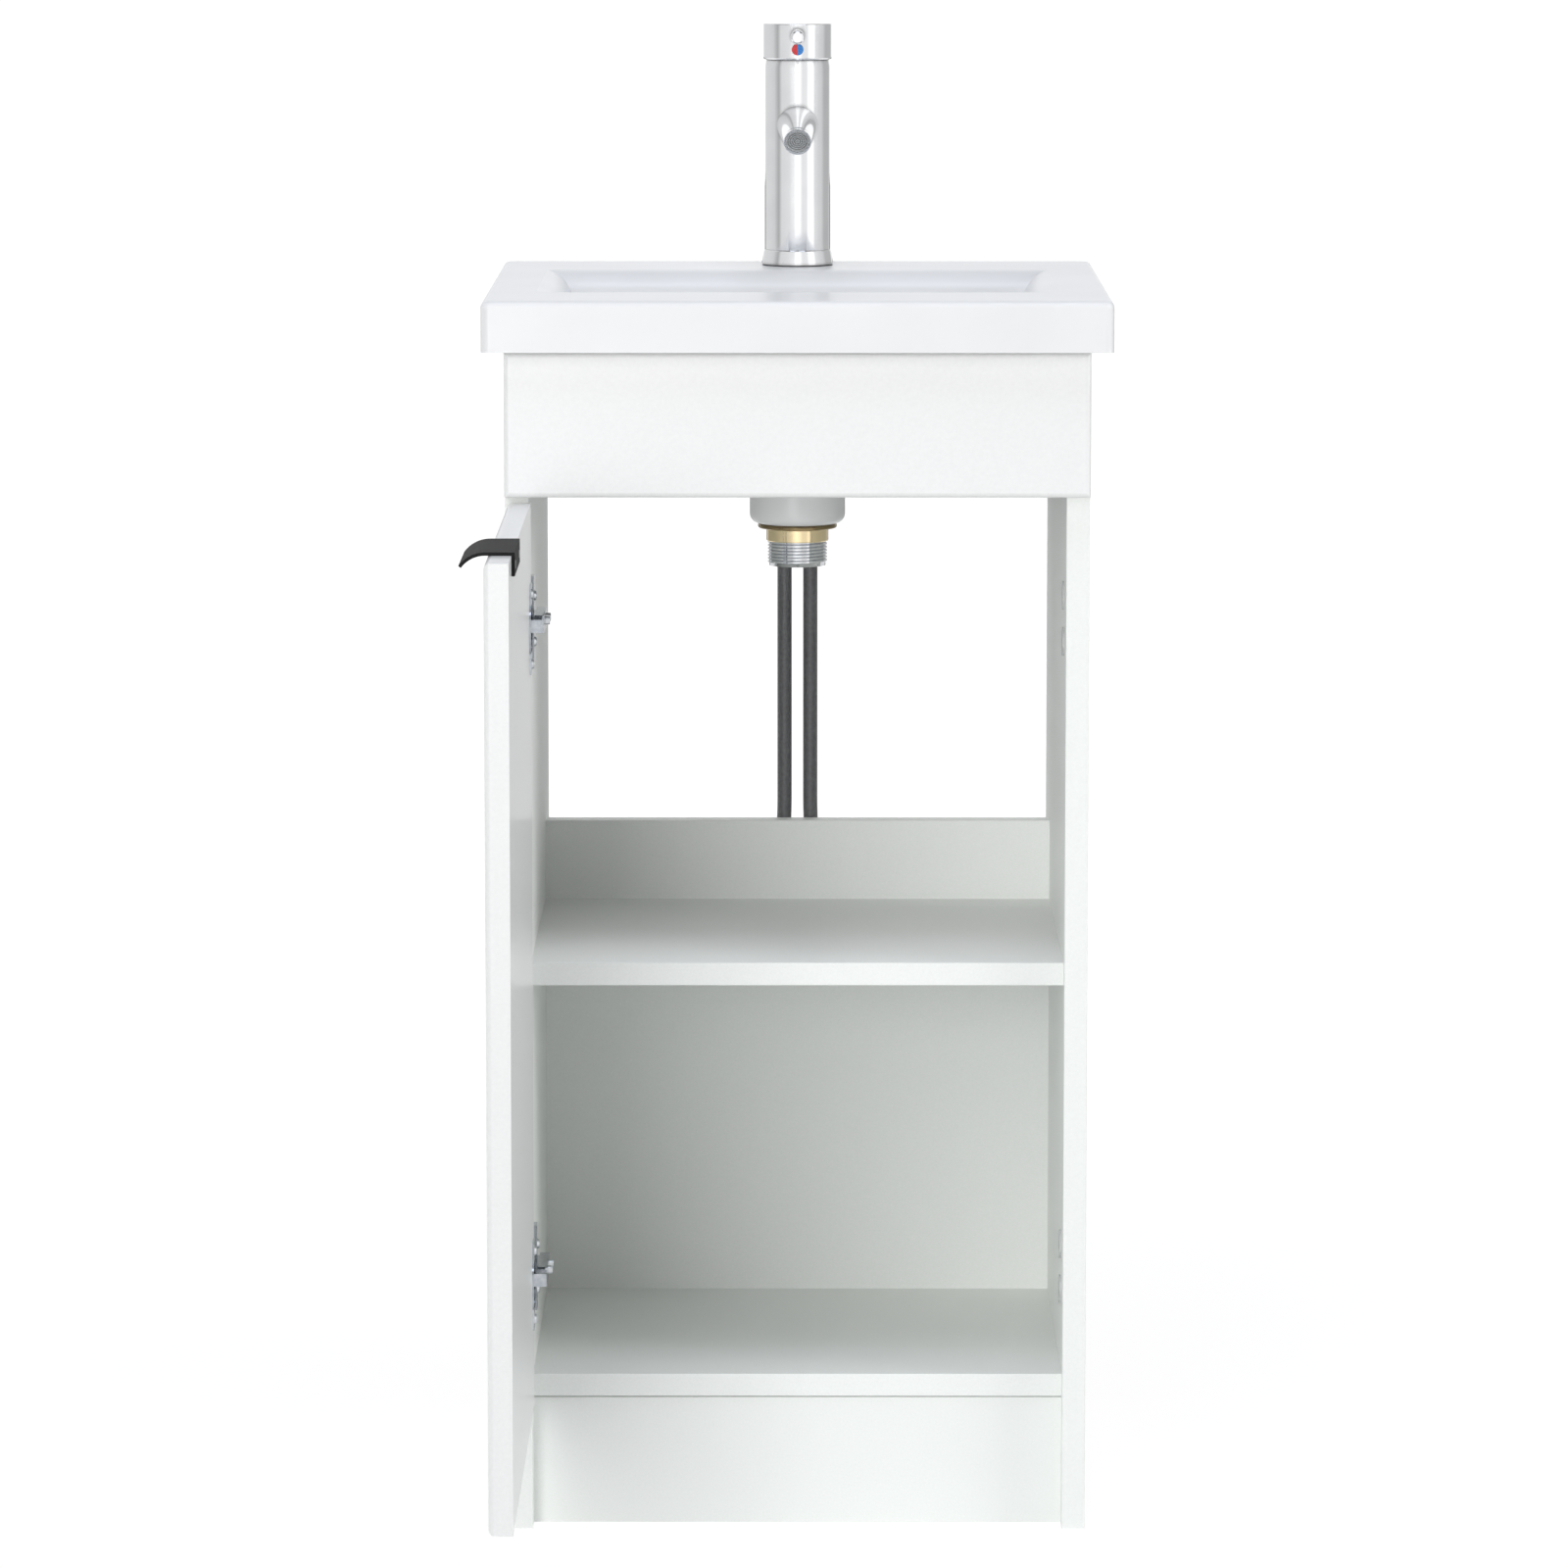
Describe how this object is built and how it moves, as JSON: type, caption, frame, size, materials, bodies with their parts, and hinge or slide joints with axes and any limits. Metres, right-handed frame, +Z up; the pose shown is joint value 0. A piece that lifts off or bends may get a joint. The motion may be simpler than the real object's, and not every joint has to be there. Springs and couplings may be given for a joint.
{
  "type": "bathroom vanity cabinet",
  "caption": "Floor-standing white vanity cabinet with a ceramic basin, a single-lever mixer tap, a hinged door and a fixed shelf.",
  "frame": {"origin": "on the floor, at mid-width and mid-thickness of the plinth board", "axes": "+Z up, +Y back towards the wall, +X to the right seen from the front"},
  "size_m": [0.4332, 0.7964, 1.032],
  "materials": {
    "white_board": "white melamine-faced chipboard, satin",
    "white_foil": "white gloss foil-wrapped board",
    "beech": "raw fluted beech",
    "ceramic": "white gloss glaze",
    "chrome": "polished chrome plate",
    "brass": "plain turned brass",
    "rubber": "moulded black rubber",
    "hose": "smooth black sleeve, satin",
    "aerator_plastic": "grey moulded mesh",
    "cartridge_plastic": "ivory moulded plastic",
    "steel": "zinc-plated steel",
    "hinge_nickel": "nickel-plated pressed steel",
    "black_pull": "matt black powder coat on metal strip",
    "cap_plastic": "pale grey moulded plastic",
    "dot_enamel": "red and blue halves"
  },
  "bodies": {
    "carcass": {"left_side_panel": "white_board", "right_side_panel": "white_board", "bottom_panel": "white_board", "shelf": "white_board", "back_panel": "white_board", "plinth": "white_board", "rear_rail": "white_board", "dowels": "beech", "fascia": "white_foil", "fascia_brackets": "steel", "basin": "ceramic", "overflow_ring": "chrome", "waste_body": "chrome", "waste_seal": "rubber", "waste_back_nut": "brass", "tap_body": "chrome", "aerator": "aerator_plastic", "tap_base_ring": "chrome", "tap_base_gasket": "rubber", "cartridge": "cartridge_plastic", "cartridge_dome": "chrome", "fixing_stud": "steel", "horseshoe_gasket": "rubber", "horseshoe_washer": "steel", "fixing_nut": "steel", "hot_hose_nipple": "steel", "hot_hose": "hose", "hot_hose_nut": "steel", "cold_hose_nipple": "steel", "cold_hose": "hose", "cold_hose_nut": "steel", "lower_hinge_arm": "hinge_nickel", "lower_hinge_plate": "hinge_nickel", "upper_hinge_arm": "hinge_nickel", "upper_hinge_plate": "hinge_nickel", "hinge_plate_screws": "hinge_nickel", "hinge_adjusters": "hinge_nickel", "blanking_caps": "cap_plastic"},
    "door": {"door": "white_foil", "door_pull": "black_pull", "pull_screws": "hinge_nickel", "lower_hinge_cup": "hinge_nickel", "lower_hinge_pin": "hinge_nickel", "upper_hinge_cup": "hinge_nickel", "upper_hinge_pin": "hinge_nickel", "hinge_cup_screws": "hinge_nickel"},
    "lever_swivel": {"lever_carrier": "cartridge_plastic", "lever_pivot_pin": "steel"},
    "lever": {"lever_cap": "chrome", "lever_stem": "steel", "lever_pin": "chrome", "colour_dot": "dot_enamel"},
    "plug": {"waste_plug": "chrome"}
  },
  "joints": [
    {"name": "door_hinge", "type": "hinge", "parent": "carcass", "child": "door", "pos_m": [-0.1913, -0.0398, 0.403], "axis": [0, 0, -1], "range_deg": [-90, 10]},
    {"name": "lever_turn", "type": "hinge", "parent": "carcass", "child": "lever_swivel", "pos_m": [0, 0.323, 0.999], "axis": [0, 0, 1], "range_deg": [-45, 45]},
    {"name": "lever_lift", "type": "hinge", "parent": "lever_swivel", "child": "lever", "pos_m": [0, 0.323, 0.999], "axis": [-1, 0, 0], "range_deg": [0, 20]},
    {"name": "plug_push", "type": "slide", "parent": "carcass", "child": "plug", "axis": [0, 0, 1], "range_m": [0, 0.008]}
  ]
}
